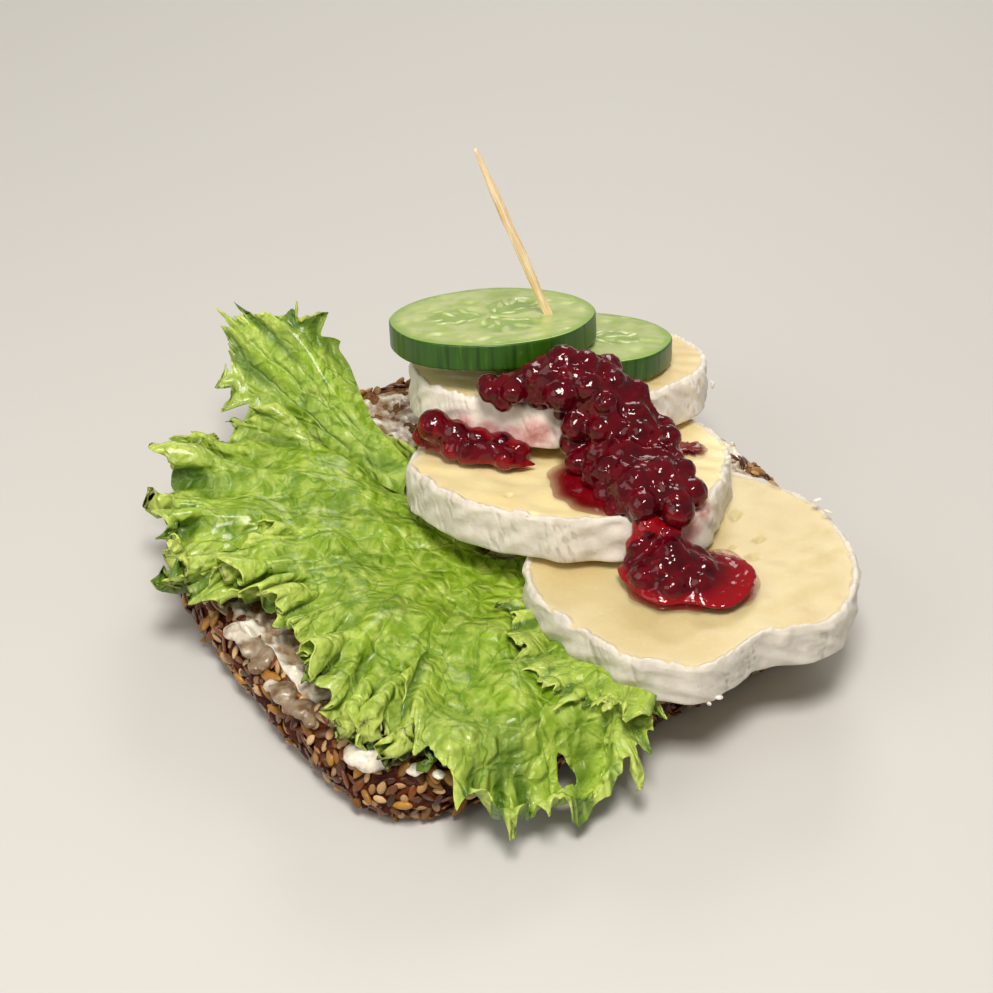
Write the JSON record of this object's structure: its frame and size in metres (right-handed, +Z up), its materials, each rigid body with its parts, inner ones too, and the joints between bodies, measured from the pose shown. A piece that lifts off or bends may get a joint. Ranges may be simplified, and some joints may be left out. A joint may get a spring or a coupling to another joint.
{
  "type": "open sandwich",
  "caption": "Open sandwich: seeded half roll with spread, frilly leaf lettuce, shingled soft cheese slices, cucumber slices on a pick and berry jam.",
  "frame": {"origin": "middle of the bread's underside, on the surface that the sandwich stands on", "axes": "+Z up, +X to the right with the lettuce on the left, +Y to the back where the cheese is highest"},
  "size_m": [0.1544, 0.1516, 0.0965],
  "materials": {
    "bread": "seeded brown crust, open brown crumb",
    "spread": "soft creamy spread",
    "lettuce": "fresh, damp, thin leaf",
    "cheese": "creamy cut face with a white bloomy rind",
    "cucumber": "wet pale flesh, dark green skin",
    "jam": "glossy red berries in clear jelly",
    "wood": "bare pale wood"
  },
  "bodies": {
    "root": {"bread": "bread", "spread": "spread", "lettuce_upper": "lettuce", "lettuce_lower": "lettuce", "lettuce_frill": "lettuce", "cheese_front": "cheese", "cheese_middle": "cheese", "cheese_back": "cheese", "cucumber_lower": "cucumber", "cucumber_upper": "cucumber", "jam_heap": "jam", "jam_pool": "jam", "jam_side": "jam", "pick": "wood"}
  },
  "joints": []
}
